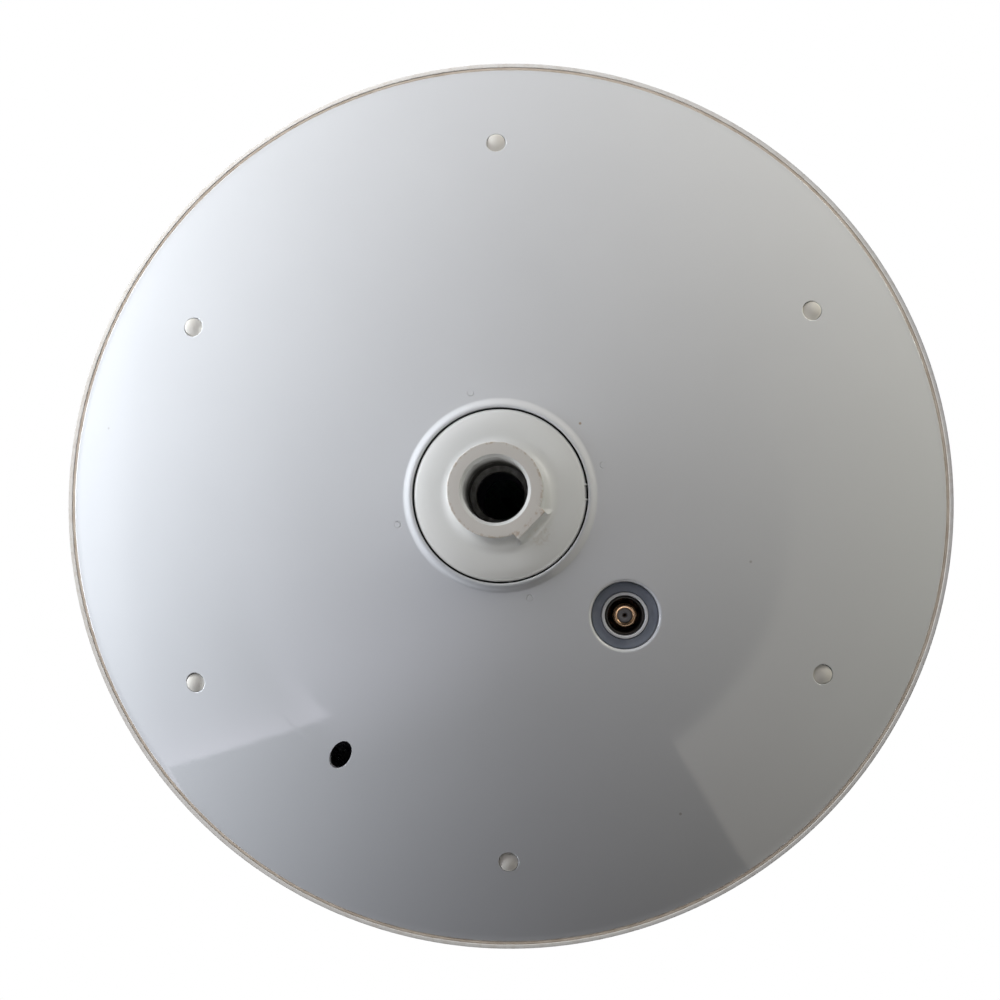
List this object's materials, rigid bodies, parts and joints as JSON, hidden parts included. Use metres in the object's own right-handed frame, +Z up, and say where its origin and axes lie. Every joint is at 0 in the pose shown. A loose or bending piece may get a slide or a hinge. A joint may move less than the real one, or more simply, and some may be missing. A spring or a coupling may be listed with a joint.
{
  "type": "marine antenna dome",
  "caption": "Round sealed antenna dome for a mast, with a crowned underside, a threaded ferrule, a recessed coaxial socket and plugged rim screws.",
  "frame": {"origin": "centre of the mast ferrule's mouth, at the bottom of the antenna", "axes": "+Z up along the mast, +X towards the coaxial socket"},
  "size_m": [0.37, 0.37, 0.145],
  "materials": {
    "dome_white": "smooth glossy white moulding, slightly cream",
    "cover_white": "smooth glossy cool white moulding",
    "hub_white": "satin off-white moulding",
    "plug_white": "satin warm grey-white caps",
    "seal_tan": "tan sealing bead",
    "rubber_black": "matt black rubber",
    "rubber_slate": "matt slate-grey rubber",
    "stainless": "stainless steel",
    "gilt_brass": "gold-plated brass",
    "dielectric": "grey insulator",
    "board_green": "green glass-epoxy circuit board",
    "tinplate": "tin-plated steel sheet",
    "aluminium": "bare aluminium sheet",
    "carrier_grey": "light grey moulded plastic",
    "cable_black": "black coaxial cable jacket"
  },
  "bodies": {
    "root": {"amp_board": "board_green", "arm_screw_inner_1": "stainless", "arm_screw_inner_2": "stainless", "arm_screw_inner_3": "stainless", "arm_screw_inner_4": "stainless", "arm_screw_outer_1": "stainless", "arm_screw_outer_2": "stainless", "arm_screw_outer_3": "stainless", "arm_screw_outer_4": "stainless", "board_screw_1": "stainless", "board_screw_2": "stainless", "board_screw_3": "stainless", "board_screw_4": "stainless", "bottom_cover": "cover_white", "carrier_screw_1": "stainless", "carrier_screw_2": "stainless", "carrier_screw_3": "stainless", "carrier_screw_4": "stainless", "coax_jumper": "cable_black", "connector_bush": "rubber_black", "connector_gasket": "rubber_slate", "cover_screw_1": "stainless", "cover_screw_2": "stainless", "cover_screw_3": "stainless", "cover_screw_4": "stainless", "cover_screw_5": "stainless", "cover_screw_6": "stainless", "dipole_arm_1": "aluminium", "dipole_arm_2": "aluminium", "dipole_arm_3": "aluminium", "dipole_arm_4": "aluminium", "element_carrier": "carrier_grey", "feed_board": "board_green", "feed_cable": "cable_black", "hub_clamp_ring": "stainless", "hub_gasket": "rubber_black", "hub_screw_1": "stainless", "hub_screw_2": "stainless", "hub_screw_3": "stainless", "hub_screw_4": "stainless", "jack_body": "gilt_brass", "jack_contact": "gilt_brass", "jack_insulator": "dielectric", "jack_nut": "gilt_brass", "jack_washer": "gilt_brass", "mount_hub": "hub_white", "rim_seal": "seal_tan", "screw_plug_1": "plug_white", "screw_plug_2": "plug_white", "screw_plug_3": "plug_white", "screw_plug_4": "plug_white", "screw_plug_5": "plug_white", "screw_plug_6": "plug_white", "shield_can": "tinplate", "top_radome": "dome_white"}
  },
  "joints": []
}
